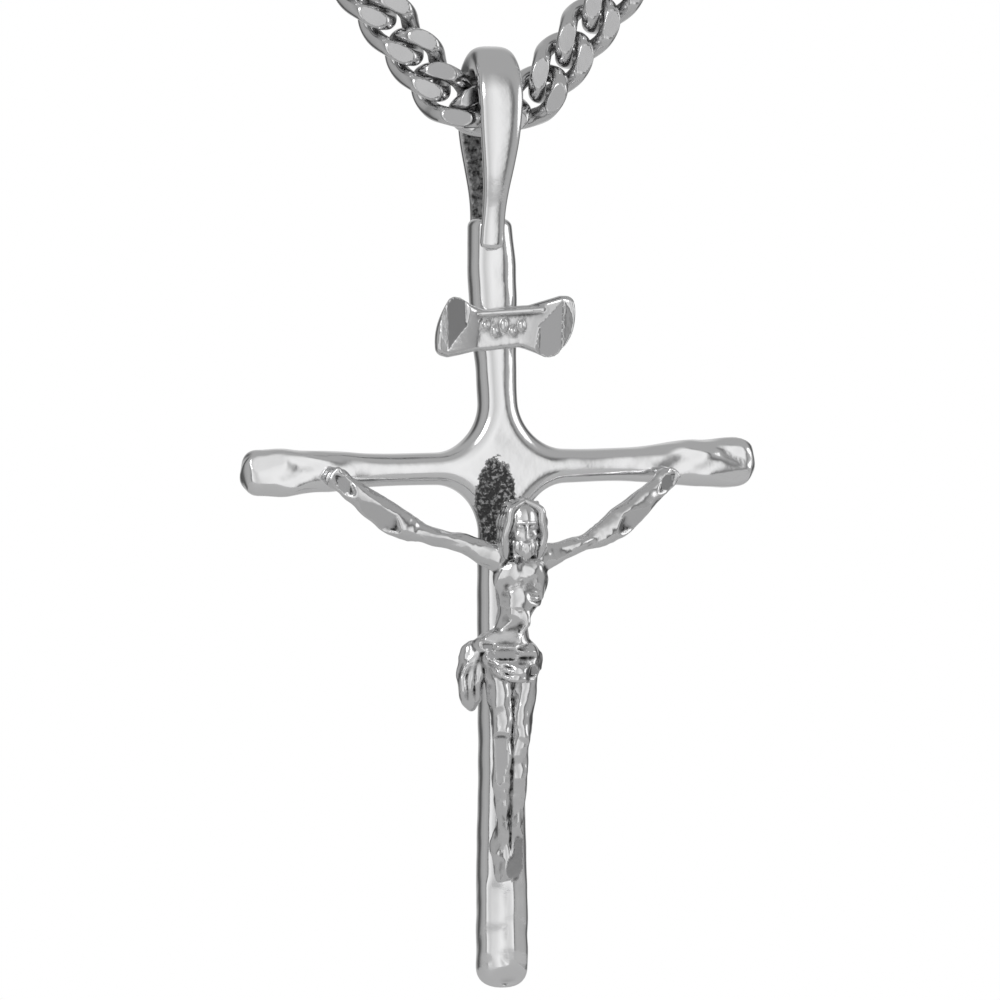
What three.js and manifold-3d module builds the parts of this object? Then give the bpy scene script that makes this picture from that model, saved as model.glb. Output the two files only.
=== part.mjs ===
// Crucifix pendant hanging by its bail from a short stretch of curb chain.
// Millimetres, +Z up, the front faces -Y. The origin is midway between the two
// end rings that hold the chain, so that every piece hangs below it.
import * as THREE from 'three';
import { mergeVertices } from 'three/addons/utils/BufferGeometryUtils.js';
import Module from 'manifold-3d';

// ---- Driving dimensions: the chain ----
const CHAIN_WIDTH = 4;
const LINK_PITCH = 0.7875 * CHAIN_WIDTH;
const WIRE = 0.3125 * CHAIN_WIDTH;
const LINK_HALF_LENGTH = 0.5975 * CHAIN_WIDTH;
const LINK_TWIST = 0.245 * CHAIN_WIDTH;
const LINK_TWIST_SHARPENING = -0.0175 * CHAIN_WIDTH;
const LINK_CORNER = 1.2;
const FACET_HALF_SPACING = 0.325 * CHAIN_WIDTH;
const LINKS_PER_STRAND = 5;
const STRAND_ANGLE = THREE.MathUtils.degToRad(51.5);
const RING_WIRE = 0.2 * CHAIN_WIDTH;
const RING_RADIUS = 0.45 * CHAIN_WIDTH;

// ---- Driving dimensions: the cross ----
const CROSS_SPAN = 37.6;
const STEM_BELOW = 36.6;
const STEM_ABOVE = 17.6;
const STEM_WIDTH = 2.9;
const CROSS_DEPTH = 2.8;
const BACK_CUT = 0.2;
const CROTCH_RADIUS = 3.2;
const STEM_LEAN = 0.045;
const BEAM_RISE = 0.6;

// ---- Driving dimensions: the bail ----
const BAIL_WIDTH = 3.4;
const BAIL_WALL = 0.9;
const BAIL_FOOT = 0.7;
const BAIL_CROWN = 1.85;
const BAIL_HALF_OPENING = 0.6 * CHAIN_WIDTH;
const BAIL_HEADROOM = 0.65 * CHAIN_WIDTH;
const BAIL_SHIFT = -1;
const BAIL_FORWARD = 0.78;
const FRONT_FOOT = 15.2;
const BACK_FOOT = 16.2;

// ---- Driving dimensions: the title scroll ----
const SCROLL_LENGTH = 10.2;
const SCROLL_HEIGHT = 3.3;
const SCROLL_THICKNESS = 0.85;
const SCROLL_CURL = 1.6;
const SCROLL_ABOVE = 9.9;
const SCROLL_SHIFT = -0.3;

// ---- Driving dimensions: the figure, and what holds it ----
const FIGURE_SCALE = 1;
const PEG_RADIUS = 0.45;
const PEG_PLAY = 0.05;
const GAP = 0.05;

// Points of the figure: x, distance in front of the cross's face, z from the crossing.
const CROWN = [0.5, 2.3, -2];
const BROW = [0.4, 2.7, -4.3];
const CHIN = [0.45, 3.1, -6.2];
const NECK = [0.35, 2.1, -5.2];
const CHEST = [0.5, 1.9, -7.6];
const WAIST = [0.2, 1.6, -10.8];
const HIPS = [-0.2, 1.5, -12.8];
const HEM = [-0.2, 1.4, -14.8];
const KNOT = [-2.2, 1.3, -12.2];
const DRAPE = [-3.1, 1, -14.4];
const DRAPE_END = [-2.9, 0.8, -16.9];
const LEFT_ARM = [
  [-12.9, 0.8, -0.4], [-11.9, 0.8, -1.1], [-8.6, 1.1, -3.6],
  [-6.2, 1.4, -4.6], [-3.9, 1.7, -5.1], [-0.6, 1.9, -6.4],
];
const RIGHT_ARM = [
  [12.2, 0.8, -0.4], [11.2, 0.8, -1.2], [7.9, 1.1, -3.9],
  [5.7, 1.4, -5.2], [4.1, 1.7, -5.7], [1.2, 1.9, -6.5],
];
const LEFT_LEG = [
  [-1.1, 1.4, -13.6], [-0.75, 1.9, -18.5], [-0.95, 1.5, -21.8],
  [-0.6, 1, -25.2], [0, 0.8, -29],
];
const RIGHT_LEG = [
  [1.05, 1.4, -13.6], [0.5, 2, -18.5], [0.35, 1.6, -21.8],
  [0.4, 1.2, -25.2], [0.5, 1, -28.6],
];
const PEG_IN_PALM = 0.08;
const PEG_IN_FEET = 0.88;

// ---- Worked out from them ----
const HALF_DEPTH = CROSS_DEPTH / 2;
const BACK = HALF_DEPTH - BACK_CUT;
const PIVOT_ABOVE_CROSSING = STEM_ABOVE + 1.85 * CHAIN_WIDTH;
const STRAND_STEP = new THREE.Vector3(
  -LINK_PITCH * Math.cos(STRAND_ANGLE), 0, LINK_PITCH * Math.sin(STRAND_ANGLE));

const X = new THREE.Vector3(1, 0, 0);
const Y = new THREE.Vector3(0, 1, 0);
const Z = new THREE.Vector3(0, 0, 1);
const FRONT = new THREE.Vector3(0, -1, 0);

const silver = new THREE.MeshStandardMaterial({ color: 0xc9c9c9, roughness: 0.16, metalness: 1 });
const darkSilver = new THREE.MeshStandardMaterial({ color: 0xa2a2a2, roughness: 0.3, metalness: 1 });

const wasm = await Module();
wasm.setup();

// ---- Solids ----

// A closed geometry as a solid, with its flat triangles at poles and seams left out.
function solid(geometry) {
  const shape = geometry.index ? geometry.clone() : mergeVertices(geometry);
  shape.deleteAttribute('normal');
  shape.deleteAttribute('uv');
  const merged = mergeVertices(shape, 1e-4);
  const corners = merged.index.array;
  const kept = [];
  for (let i = 0; i < corners.length; i += 3) {
    const [a, b, c] = corners.slice(i, i + 3);
    if (a !== b && b !== c && c !== a) kept.push(a, b, c);
  }
  return new wasm.Manifold(new wasm.Mesh({
    numProp: 3,
    vertProperties: new Float32Array(merged.attributes.position.array),
    triVerts: new Uint32Array(kept),
  }));
}

function geometryOf(body) {
  const mesh = body.getMesh();
  const geometry = new THREE.BufferGeometry();
  geometry.setAttribute('position', new THREE.BufferAttribute(mesh.vertProperties, 3));
  geometry.setIndex(new THREE.BufferAttribute(mesh.triVerts, 1));
  geometry.computeVertexNormals();
  return geometry;
}

function joined(bodies) {
  return bodies.reduce((sum, body) => sum.add(body));
}

function box(min, max) {
  const size = new THREE.Vector3().subVectors(max, min);
  const centre = new THREE.Vector3().addVectors(min, max).multiplyScalar(0.5);
  const geometry = new THREE.BoxGeometry(size.x, size.y, size.z);
  return solid(geometry.translate(centre.x, centre.y, centre.z));
}

function rod(radius, length) {
  return new THREE.CylinderGeometry(radius, radius, length, 16);
}

// An outline in the (Y, Z) plane, extruded along X to both sides of x = 0.
function extrudedAcross(outline, width) {
  const options = { depth: width, bevelEnabled: false, curveSegments: 8 };
  const geometry = new THREE.ExtrudeGeometry(outline, options);
  geometry.translate(0, 0, -width / 2);
  geometry.applyMatrix4(new THREE.Matrix4().makeBasis(Y, Z, X));
  return solid(geometry);
}

// An outline in the (X, Z) plane, extruded from y = back to y = front.
function extrudedForward(outline, front, back) {
  const options = { depth: back - front, bevelEnabled: false, curveSegments: 6 };
  const geometry = new THREE.ExtrudeGeometry(outline, options);
  geometry.applyMatrix4(new THREE.Matrix4().makeBasis(X, Z, FRONT));
  return solid(geometry.translate(0, back, 0));
}

// An outline in the (X, Y) plane, extruded upwards from z = bottom.
function extrudedUp(outline, bottom, height) {
  const options = { depth: height, bevelEnabled: false, curveSegments: 8 };
  const geometry = new THREE.ExtrudeGeometry(outline, options);
  return solid(geometry.translate(0, 0, bottom));
}

// A value that runs smoothly through evenly spaced stops, for 0 <= s <= 1.
function through(...stops) {
  const curve = new THREE.SplineCurve(stops.map((value, i) => new THREE.Vector2(i, value)));
  return (s) => curve.getPoint(s).y;
}

// A round-ended bar: a lathed unit profile laid along a spine. The section is a
// superellipse with its own half width and half depth at every point of the spine.
function bar({ spine, width, depth, rings = 8, sides = 12, squareness = 1, endLength = 0.04 }) {
  const profile = [new THREE.Vector2(0, 0)];
  for (const angle of [0.5, 1]) {
    profile.push(new THREE.Vector2(Math.sin(angle), endLength * (1 - Math.cos(angle))));
  }
  for (let i = 0; i <= rings; i++) {
    profile.push(new THREE.Vector2(1, endLength + (1 - 2 * endLength) * (i / rings)));
  }
  for (const angle of [1, 0.5]) {
    profile.push(new THREE.Vector2(Math.sin(angle), 1 - endLength * (1 - Math.cos(angle))));
  }
  profile.push(new THREE.Vector2(0, 1));
  const geometry = new THREE.LatheGeometry(profile, sides);
  const place = geometry.attributes.position;
  const point = new THREE.Vector3();
  for (let i = 0; i < place.count; i++) {
    point.fromBufferAttribute(place, i);
    const s = THREE.MathUtils.clamp(point.y, 0, 1);
    const tangent = spine.getTangent(s);
    const across = new THREE.Vector3().crossVectors(tangent, FRONT).normalize();
    const front = new THREE.Vector3().crossVectors(across, tangent).normalize();
    const reach = Math.hypot(point.x, point.z);
    const side = reach > 0 ? point.x / reach : 0;
    const fore = reach > 0 ? point.z / reach : 0;
    const out = spine.getPoint(s);
    out.addScaledVector(across, reach * width(s) * Math.sign(side) * Math.abs(side) ** squareness);
    out.addScaledVector(front, reach * depth(s) * Math.sign(fore) * Math.abs(fore) ** squareness);
    place.setXYZ(i, out.x, out.y, out.z);
  }
  return solid(geometry);
}

// ---- Chain ----

// Centreline of a curb link: an oval with full ends, twisted so that links lie flat.
class CurbLink extends THREE.Curve {
  getPoint(t, target = new THREE.Vector3()) {
    const angle = 2 * Math.PI * t;
    const c = Math.cos(angle);
    const s = Math.sin(angle);
    const halfAcross = (CHAIN_WIDTH - WIRE) / 2;
    return target.set(
      LINK_HALF_LENGTH * Math.sign(c) * Math.abs(c) ** LINK_CORNER,
      LINK_TWIST * Math.sin(2 * angle) + LINK_TWIST_SHARPENING * Math.sin(4 * angle),
      halfAcross * Math.sign(s) * Math.abs(s) ** LINK_CORNER);
  }
}

// The closed wire loop, with its two outer faces cut flat.
function linkGeometry() {
  const loop = solid(new THREE.TubeGeometry(new CurbLink(), 22, WIRE / 2, 8, true));
  const reach = CHAIN_WIDTH;
  const slab = box(
    new THREE.Vector3(-reach, -FACET_HALF_SPACING, -reach),
    new THREE.Vector3(reach, FACET_HALF_SPACING, reach));
  return geometryOf(loop.intersect(slab));
}

const curb = linkGeometry();

function link(name, position, tilt = new THREE.Vector3(), pitchAngle = 0) {
  const mesh = new THREE.Mesh(curb, silver);
  mesh.name = name;
  mesh.position.copy(position);
  const turn = new THREE.Quaternion().setFromAxisAngle(Y, pitchAngle);
  const lean = new THREE.Quaternion();
  if (tilt.length() > 0) lean.setFromAxisAngle(tilt.clone().normalize(), tilt.length());
  mesh.quaternion.copy(lean.multiply(turn));
  return mesh;
}

// Link centres of the strand on the -X side, measured from the centre link.
const FIRST_LINK = new THREE.Vector3(-0.759, -0.018, 0.215).multiplyScalar(CHAIN_WIDTH);
const FIRST_LINK_TILT = new THREE.Vector3(-0.154, -0.064, -0.228);
const FIRST_LINK_ANGLE = 0.748;
const SECOND_LINK = new THREE.Vector3(-1.246, 0, 0.7728).multiplyScalar(CHAIN_WIDTH);

function linkCentre(number) {
  if (number === 1) return FIRST_LINK.clone();
  return SECOND_LINK.clone().addScaledVector(STRAND_STEP, number - 2);
}

// The end ring goes through the last link's far end.
const RING_OFFSET = new THREE.Vector3(-0.463, -0.025, 0.587).multiplyScalar(CHAIN_WIDTH);
const RING_TURN = new THREE.Euler(-1.788, -0.358, 0);

function endRing(name) {
  const ring = new THREE.Mesh(new THREE.TorusGeometry(RING_RADIUS, RING_WIRE / 2, 8, 24), silver);
  ring.name = name;
  ring.position.copy(linkCentre(LINKS_PER_STRAND)).add(RING_OFFSET);
  ring.rotation.copy(RING_TURN);
  return ring;
}

// One strand rises from the centre link to its end ring; the other is the same, turned half round.
function strand(side) {
  const group = new THREE.Group();
  group.add(link(`${side}_link_1`, linkCentre(1), FIRST_LINK_TILT, FIRST_LINK_ANGLE));
  for (let number = 2; number <= LINKS_PER_STRAND; number++) {
    group.add(link(`${side}_link_${number}`, linkCentre(number), undefined, STRAND_ANGLE));
  }
  group.add(endRing(`${side}_end_ring`));
  return group;
}

// ---- Cross ----

// A point of the figure in the pendant's frame, just clear of the cross.
function figurePoint(x, out, z) {
  return new THREE.Vector3(x * FIGURE_SCALE, -HALF_DEPTH - GAP - out * FIGURE_SCALE, z * FIGURE_SCALE);
}

// Where the pegs stand, as (x, z): behind the palms, the feet and the scroll.
function alongLimb(points, share) {
  const spine = new THREE.CatmullRomCurve3(points.map((p) => figurePoint(...p)), false, 'centripetal');
  const point = spine.getPoint(share);
  return new THREE.Vector2(point.x, point.z);
}

const PEG_PLACES = {
  left_hand_peg: alongLimb(LEFT_ARM, PEG_IN_PALM),
  right_hand_peg: alongLimb(RIGHT_ARM, PEG_IN_PALM),
  foot_peg: alongLimb(LEFT_LEG, PEG_IN_FEET),
  scroll_peg: new THREE.Vector2(-STEM_LEAN * SCROLL_ABOVE, SCROLL_ABOVE),
};

function stem() {
  const bottom = new THREE.Vector3(0.15, 0, -STEM_BELOW);
  const crossing = new THREE.Vector3(0, 0, 0);
  const top = new THREE.Vector3(-STEM_LEAN * STEM_ABOVE, 0, STEM_ABOVE);
  const w = STEM_WIDTH / 2;
  const lower = bar({
    spine: new THREE.LineCurve3(bottom, crossing),
    width: through(1.25 * w, 1.24 * w, 1.12 * w, 1.13 * w, 1.12 * w, 1.02 * w),
    depth: through(0.95 * HALF_DEPTH, HALF_DEPTH, HALF_DEPTH, HALF_DEPTH, HALF_DEPTH),
    rings: 10, squareness: 0.8,
  });
  const upper = bar({
    spine: new THREE.LineCurve3(crossing, top),
    width: through(w, 0.97 * w, 0.97 * w, 1.1 * w, 1.12 * w, 0.8 * w),
    depth: () => HALF_DEPTH,
    rings: 8, squareness: 0.8,
  });
  return lower.add(upper);
}

function beam() {
  const h = STEM_WIDTH / 2;
  const half = CROSS_SPAN / 2;
  return bar({
    spine: new THREE.LineCurve3(
      new THREE.Vector3(-half, 0, -BEAM_RISE / 2), new THREE.Vector3(half, 0, BEAM_RISE / 2)),
    width: through(1.05 * h, 1.0 * h, 0.8 * h, 0.8 * h, h, 0.85 * h, 0.85 * h, 1.2 * h, 1.25 * h),
    depth: through(0.95 * HALF_DEPTH, 0.9 * HALF_DEPTH, HALF_DEPTH, 0.9 * HALF_DEPTH, 0.98 * HALF_DEPTH),
    rings: 16, squareness: 0.8, endLength: 0.025,
  });
}

// A plate with four hollow sides, which rounds the corners where stem and beam cross.
function crotches() {
  const near = 0.9 * STEM_WIDTH / 2;
  const far = near + CROTCH_RADIUS;
  const outline = new THREE.Shape();
  outline.absarc(far, far, CROTCH_RADIUS, 1.5 * Math.PI, Math.PI, true);
  outline.absarc(-far, far, CROTCH_RADIUS, 0, 1.5 * Math.PI, true);
  outline.absarc(-far, -far, CROTCH_RADIUS, 0.5 * Math.PI, 0, true);
  outline.absarc(far, -far, CROTCH_RADIUS, Math.PI, 0.5 * Math.PI, true);
  return extrudedForward(outline, -0.85 * HALF_DEPTH, HALF_DEPTH);
}

// The cast cross has a flat back and a through hole for each peg.
function crossCasting() {
  const far = 2 * STEM_BELOW;
  let body = joined([stem(), beam(), crotches()]);
  body = body.subtract(box(new THREE.Vector3(-far, BACK, -far), new THREE.Vector3(far, far, far)));
  for (const place of Object.values(PEG_PLACES)) {
    const hole = rod(PEG_RADIUS + PEG_PLAY, 4 * CROSS_DEPTH);
    body = body.subtract(solid(hole.translate(place.x, 0, place.y)));
  }
  return named('cross_casting', geometryOf(body), silver);
}

function peg(name) {
  const place = PEG_PLACES[name];
  const front = -HALF_DEPTH - GAP;
  const geometry = rod(PEG_RADIUS, BACK - front).translate(place.x, (BACK + front) / 2, place.y);
  return named(name, geometry, silver);
}

// ---- Bail ----

// Side view: an arch over the chain whose two legs close in on the stem. The arch sits
// forward of the stem, above the pendant's centre of mass, so that the pendant hangs plumb.
function bailProfile() {
  const pivot = PIVOT_ABOVE_CROSSING;
  const front = -HALF_DEPTH - GAP;
  const back = BACK + GAP;
  const centre = -BAIL_FORWARD;
  const open = BAIL_HALF_OPENING;
  const wide = open + BAIL_WALL;
  const outline = new THREE.Shape();
  outline.moveTo(front - BAIL_FOOT, FRONT_FOOT);
  outline.bezierCurveTo(front - BAIL_FOOT, FRONT_FOOT + 3.5, centre - wide, pivot - 5, centre - wide, pivot);
  outline.absellipse(centre, pivot, wide, BAIL_HEADROOM + BAIL_CROWN, Math.PI, 0, true);
  outline.bezierCurveTo(
    centre + wide, pivot - 5, back + BAIL_FOOT, BACK_FOOT + 3, back + BAIL_FOOT, BACK_FOOT);
  outline.lineTo(back, BACK_FOOT);
  outline.bezierCurveTo(back, BACK_FOOT + 3, centre + open, pivot - 4.5, centre + open, pivot);
  outline.absellipse(centre, pivot, open, BAIL_HEADROOM, 0, Math.PI, false);
  outline.bezierCurveTo(centre - open, pivot - 4.5, front, FRONT_FOOT + 3.5, front, FRONT_FOOT);
  outline.closePath();
  return outline;
}

// Front view: a strap that widens from its foot to its shoulders and rounds over at the top.
function bailFace() {
  const top = PIVOT_ABOVE_CROSSING + BAIL_HEADROOM + BAIL_CROWN;
  const w = BAIL_WIDTH / 2;
  const outline = new THREE.Shape();
  outline.moveTo(0.62 * w, FRONT_FOOT - 1);
  outline.bezierCurveTo(0.7 * w, FRONT_FOOT + 5, w, PIVOT_ABOVE_CROSSING - 2, w, PIVOT_ABOVE_CROSSING + 2);
  outline.bezierCurveTo(w, top - 0.6, 0.8 * w, top + 0.2, 0, top + 0.2);
  outline.bezierCurveTo(-0.8 * w, top + 0.2, -w, top - 0.6, -w, PIVOT_ABOVE_CROSSING + 2);
  outline.bezierCurveTo(-w, PIVOT_ABOVE_CROSSING - 2, -0.7 * w, FRONT_FOOT + 5, -0.62 * w, FRONT_FOOT - 1);
  outline.closePath();
  return outline;
}

function bailStrap() {
  const reach = BAIL_FORWARD + BAIL_HALF_OPENING + BAIL_WALL + 1;
  const arch = extrudedAcross(bailProfile(), BAIL_WIDTH + 1);
  const strap = arch.intersect(extrudedForward(bailFace(), -reach, reach));
  return named('bail_strap', geometryOf(strap).translate(BAIL_SHIFT, 0, 0), silver);
}

// ---- Scroll ----

// Plan of the scroll: flat against the stem, with both ends curling forwards.
function scrollPlan() {
  const half = SCROLL_LENGTH / 2;
  const back = -HALF_DEPTH - GAP;
  const front = back - SCROLL_THICKNESS;
  const tip = back - SCROLL_CURL;
  const start = 0.2 * SCROLL_CURL;
  const thick = SCROLL_THICKNESS;
  const outline = new THREE.Shape();
  outline.moveTo(-half, tip);
  outline.bezierCurveTo(-half + 1, back - start, -half + 1.6, back, -0.45 * half, back);
  outline.lineTo(0.45 * half, back);
  outline.bezierCurveTo(half - 1.6, back, half - 1, back - start, half, tip);
  outline.lineTo(half - thick, tip - thick / 2);
  outline.bezierCurveTo(half - 1.4, front - start, half - 2, front, 0.4 * half, front);
  outline.lineTo(-0.4 * half, front);
  outline.bezierCurveTo(-half + 2, front, -half + 1.4, front - start, -half + thick, tip - thick / 2);
  outline.closePath();
  return outline;
}

// Face of the scroll: its edges wave, and its ends are cut on the slant.
function scrollFace() {
  const half = SCROLL_LENGTH / 2;
  const h = SCROLL_HEIGHT / 2;
  const middle = SCROLL_ABOVE;
  const face = new THREE.Shape();
  face.moveTo(-0.85 * half, middle - 1.3 * h);
  face.bezierCurveTo(
    -0.3 * half, middle - 0.7 * h, 0.1 * half, middle - 0.7 * h, 0.72 * half, middle - 1.2 * h);
  face.lineTo(1.05 * half, middle + 0.3 * h);
  face.lineTo(0.85 * half, middle + 1.2 * h);
  face.bezierCurveTo(
    0.3 * half, middle + 0.9 * h, -0.2 * half, middle + 0.5 * h, -0.72 * half, middle + 1.3 * h);
  face.lineTo(-1.05 * half, middle + 0.1 * h);
  face.closePath();
  return face;
}

function titleScroll() {
  const band = extrudedUp(scrollPlan(), SCROLL_ABOVE - SCROLL_HEIGHT, 2 * SCROLL_HEIGHT);
  const reach = HALF_DEPTH + SCROLL_CURL + 2 * SCROLL_THICKNESS;
  const scroll = band.intersect(extrudedForward(scrollFace(), -reach, 0));
  return named('title_scroll', geometryOf(scroll).translate(SCROLL_SHIFT, 0, 0), silver);
}

// ---- Figure ----

function limb(points, widths, depths = widths, rings = 6) {
  return bar({
    spine: new THREE.CatmullRomCurve3(points.map((p) => figurePoint(...p)), false, 'centripetal'),
    width: through(...widths.map((value) => value * FIGURE_SCALE)),
    depth: through(...depths.map((value) => value * FIGURE_SCALE)),
    rings, sides: 8, endLength: 0.08,
  });
}

function corpus() {
  const leftArmWidths = [0.8, 1, 0.9, 0.75, 0.75, 1];
  const rightArmWidths = [0.8, 1, 0.8, 0.6, 0.65, 1];
  const armDepths = [0.6, 0.7, 0.75, 0.75, 0.8, 0.8];
  const legDepths = [1.1, 1.1, 0.9, 0.7, 0.6];
  const body = joined([
    limb(LEFT_ARM, leftArmWidths, armDepths),
    limb(RIGHT_ARM, rightArmWidths, armDepths),
    limb([NECK, CHEST, WAIST, HIPS], [1, 1.95, 1.25, 1.9], [0.7, 1.2, 1, 1.2], 8),
    limb([CHIN, BROW, CROWN], [1, 1.5, 1.1], [0.9, 1.5, 1.1]),
    limb([WAIST, HIPS, HEM], [1.3, 2.5, 2.1], [1, 1.45, 1.25]),
    limb([KNOT, DRAPE, DRAPE_END], [0.6, 0.8, 0.5], [0.6, 0.7, 0.5]),
    limb(LEFT_LEG, [1.25, 0.8, 0.8, 0.55, 0.5], legDepths, 8),
    limb(RIGHT_LEG, [1.2, 0.75, 0.8, 0.55, 0.65], legDepths, 8),
  ]);
  const reach = 2 * STEM_BELOW;
  const inFront = box(
    new THREE.Vector3(-reach, -reach, -reach), new THREE.Vector3(reach, -HALF_DEPTH - GAP, reach));
  return named('corpus', geometryOf(body.intersect(inFront)), darkSilver);
}

// ---- Assembly ----

function named(name, geometry, material) {
  const mesh = new THREE.Mesh(geometry, material);
  mesh.name = name;
  return mesh;
}

const RING_HEIGHT = linkCentre(LINKS_PER_STRAND).z + RING_OFFSET.z;

// The chain hangs with its end rings level with the origin.
const chain = new THREE.Group();
chain.position.z = -RING_HEIGHT;
chain.add(link('centre_link', new THREE.Vector3()));
chain.add(strand('left'));
const rightStrand = strand('right');
rightStrand.rotation.z = Math.PI;
chain.add(rightStrand);

// The pendant's own frame has its origin where stem and beam cross.
const pendant = new THREE.Group();
pendant.position.set(-BAIL_SHIFT, BAIL_FORWARD, -RING_HEIGHT - PIVOT_ABOVE_CROSSING);
pendant.add(crossCasting(), bailStrap(), titleScroll(), corpus());
for (const name of Object.keys(PEG_PLACES)) pendant.add(peg(name));

const crucifix = new THREE.Group();
crucifix.add(chain, pendant);

export default crucifix;
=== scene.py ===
# %% [markdown]
# # A silver crucifix pendant on a curb chain
#
# The real thing is a piece of cast jewellery a little over 60 mm tall: a rod cross with a
# figure, a small title band and a strap bail, hanging on a 4 mm curb chain. The measured
# model is loaded first and never moved. Everything below gives it its looks: each visible
# piece is a new, finer surface that stands where its measured piece stands.

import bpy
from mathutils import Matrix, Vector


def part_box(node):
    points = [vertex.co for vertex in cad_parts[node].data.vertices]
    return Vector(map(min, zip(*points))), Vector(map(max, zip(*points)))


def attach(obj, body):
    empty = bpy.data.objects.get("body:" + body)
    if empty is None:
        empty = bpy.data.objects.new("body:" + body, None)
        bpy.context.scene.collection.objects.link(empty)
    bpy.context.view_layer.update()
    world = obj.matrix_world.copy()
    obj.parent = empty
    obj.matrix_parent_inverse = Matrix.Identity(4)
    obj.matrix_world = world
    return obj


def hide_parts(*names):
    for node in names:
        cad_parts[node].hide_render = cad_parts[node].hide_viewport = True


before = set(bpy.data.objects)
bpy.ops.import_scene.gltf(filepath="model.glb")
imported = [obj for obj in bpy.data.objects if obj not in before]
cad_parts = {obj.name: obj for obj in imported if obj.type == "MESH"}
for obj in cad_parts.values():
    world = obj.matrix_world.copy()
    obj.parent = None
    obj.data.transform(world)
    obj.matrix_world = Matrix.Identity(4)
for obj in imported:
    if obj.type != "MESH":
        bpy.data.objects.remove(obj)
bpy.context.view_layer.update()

# %% [markdown]
# Two libraries do the work. numpy holds whole arrays of points, and bpy is Blender. Sizes
# are written in millimetres because that is how a jeweller thinks of them, and a mesh is
# scaled to metres only when it is made.

# %% Libraries and the two places that everything is measured from
import math

import bpy
import numpy as np
from mathutils import Vector

MM = 0.001
STEM_BELOW = 36.6  # from the crossing of the two rods down to the foot
BACK = 1.2  # from the crossing to the flat back


def box_mm(node):
    """Lowest and highest corner of a measured piece, in millimetres."""
    low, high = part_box(node)
    return np.array(low) / MM, np.array(high) / MM


cross_low, cross_high = box_mm("cross_casting")
CROSSING = np.array([(cross_low[0] + cross_high[0]) / 2, cross_high[1] - BACK,
                     cross_low[2] + STEM_BELOW])
CHAIN_CENTRE = sum(box_mm("centre_link")) / 2
print("crossing at", CROSSING.round(3), "and centre link at", CHAIN_CENTRE.round(3))

# %% [markdown]
# ## Tools for surfaces
#
# A swept surface is a grid: rows go along a path and columns go round the section. Such a
# grid needs only its points, because the faces are always the same four-corner pattern.
# A closed path joins its last row to its first; an open one is shut at each end by a fan
# of triangles round one point.

# %% Curves and grids
def through(stops, s):
    """Catmull-Rom spline through evenly spaced stops, at the shares s between 0 and 1."""
    stops = np.asarray(stops, float)
    last = len(stops) - 1
    place = np.clip(np.asarray(s, float), 0, 1) * last
    i = np.minimum(place.astype(int), last - 1)
    t = place - i
    if stops.ndim > 1:
        t = t[..., None]
    before, here = stops[np.maximum(i - 1, 0)], stops[i]
    there, after = stops[i + 1], stops[np.minimum(i + 2, last)]
    bend = 2 * before - 5 * here + 4 * there - after
    curl = 3 * here - before - 3 * there + after
    return 0.5 * (2 * here + (there - before) * t + bend * t**2 + curl * t**3)


def grid_faces(rows, columns, closed):
    """Quads of a grid whose columns go all the way round, and whose rows do if it is closed."""
    i = np.arange(rows if closed else rows - 1)[:, None]
    j = np.arange(columns)[None, :]
    up, along = (i + 1) % rows, (j + 1) % columns
    corners = [i * columns + j, up * columns + j, up * columns + along, i * columns + along]
    return np.stack([np.broadcast_to(c, (len(i), columns)) for c in corners], -1).reshape(-1, 4)


def shut_ends(points, faces):
    """Adds the middle of the first and last row, and a fan of triangles round each."""
    rows, columns = points.shape[:2]
    flat = points.reshape(-1, 3)
    first = np.arange(columns)
    after = (first + 1) % columns
    last = first + (rows - 1) * columns
    low = np.stack([first, after, np.full(columns, len(flat))], 1)
    high = np.stack([last[after], last, np.full(columns, len(flat) + 1)], 1)
    ends = np.stack([points[0].mean(0), points[-1].mean(0)])
    return np.vstack([flat, ends]), faces.tolist() + low.tolist() + high.tolist()


print("a closed grid of 4 rows and 6 columns has", len(grid_faces(4, 6, closed=True)), "faces")

# %% [markdown]
# Faces must look outwards, and the sign of the volume they enclose tells whether they do.
# Each piece gets its finish, rides on a body and stands for its measured twin.

# %% Making a piece
def outward(points, faces):
    """The faces, turned round if the volume they enclose comes out negative."""
    halves = [[f[0], f[2], f[3]] for f in faces if len(f) > 3]
    fan = np.array([f[:3] for f in faces] + halves)
    a, b, c = points[fan[:, 0]], points[fan[:, 1]], points[fan[:, 2]]
    volume = np.einsum("ij,ij->i", a, np.cross(b, c)).sum() / 6
    return faces if volume > 0 else [f[::-1] for f in faces]


def make_piece(name, points, faces, shade_and_dark_skin=None, cut_with_painted_reflection=None, flat=None):
    """Mesh from points in mm. Two shares at each point carry painted shade with dark skin, and cut
    faces with their painted reflection grey; flat marks whole faces.
    """
    faces = outward(points - points.mean(0), faces if isinstance(faces, list) else faces.tolist())
    mesh = bpy.data.meshes.new(name)
    mesh.from_pydata((points * MM).tolist(), [], faces)
    mesh.polygons.foreach_set("use_smooth", np.ones(len(faces), bool) if flat is None else ~flat)
    for label, values in (("shade_and_dark_skin", shade_and_dark_skin), ("cut_with_painted_reflection", cut_with_painted_reflection)):
        layer = mesh.attributes.new(label, "FLOAT", "POINT")
        layer.data.foreach_set("value", np.zeros(len(points)) if values is None else values)
    mesh.update()
    piece = bpy.data.objects.new(name, mesh)
    bpy.context.scene.collection.objects.link(piece)
    return piece


def finish_piece(piece, body, node, finish):
    """Gives the piece its finish, and lets it stand for one measured piece."""
    piece.data.materials.append(finish)
    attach(piece, body)
    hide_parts(node)
    low, high = box_mm(node)
    points = np.array([v.co for v in piece.data.vertices]) / MM
    proud = max((low - points.min(0)).max(), (points.max(0) - high).max())
    print(f"{piece.name}: {len(piece.data.polygons)} faces, {proud:.2f} mm outside {node}'s box")
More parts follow.
